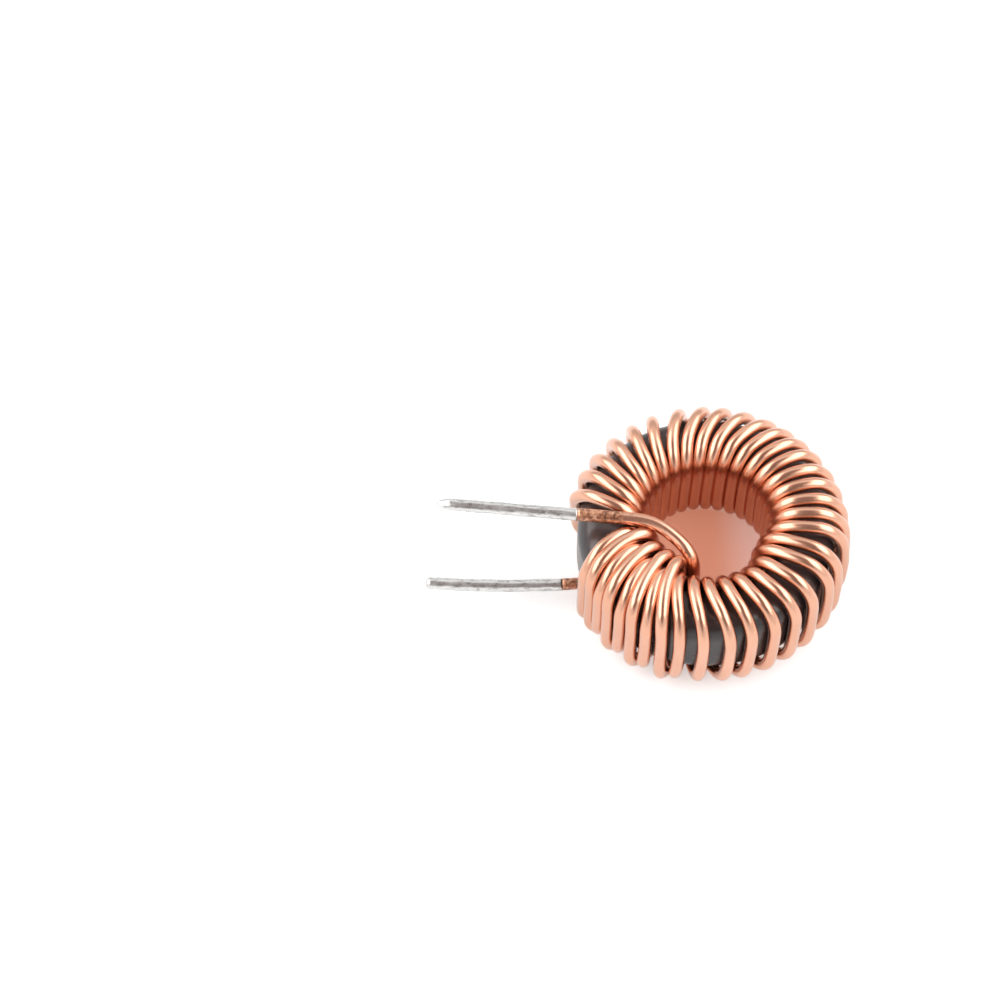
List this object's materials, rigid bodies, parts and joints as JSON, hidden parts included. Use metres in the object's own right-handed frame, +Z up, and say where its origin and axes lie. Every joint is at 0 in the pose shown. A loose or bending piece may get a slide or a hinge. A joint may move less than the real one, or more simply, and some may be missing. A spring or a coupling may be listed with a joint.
{
  "type": "toroidal inductor",
  "caption": "Toroidal inductor: enamelled copper wire wound round a coated ring core, with tinned wire leads leaving to the side.",
  "frame": {"origin": "on the ring's axis, level with the lowest wire", "axes": "+Z up the ring's axis, away from the board; -X the way both leads leave; +Y across"},
  "size_m": [0.0389, 0.0258, 0.012],
  "materials": {
    "core": "semi-gloss",
    "wire": "satin",
    "solder": "satin"
  },
  "bodies": {
    "root": {"core": "core", "winding": "wire", "upper_lead_tinning": "solder", "lower_lead_tinning": "solder"}
  },
  "joints": []
}
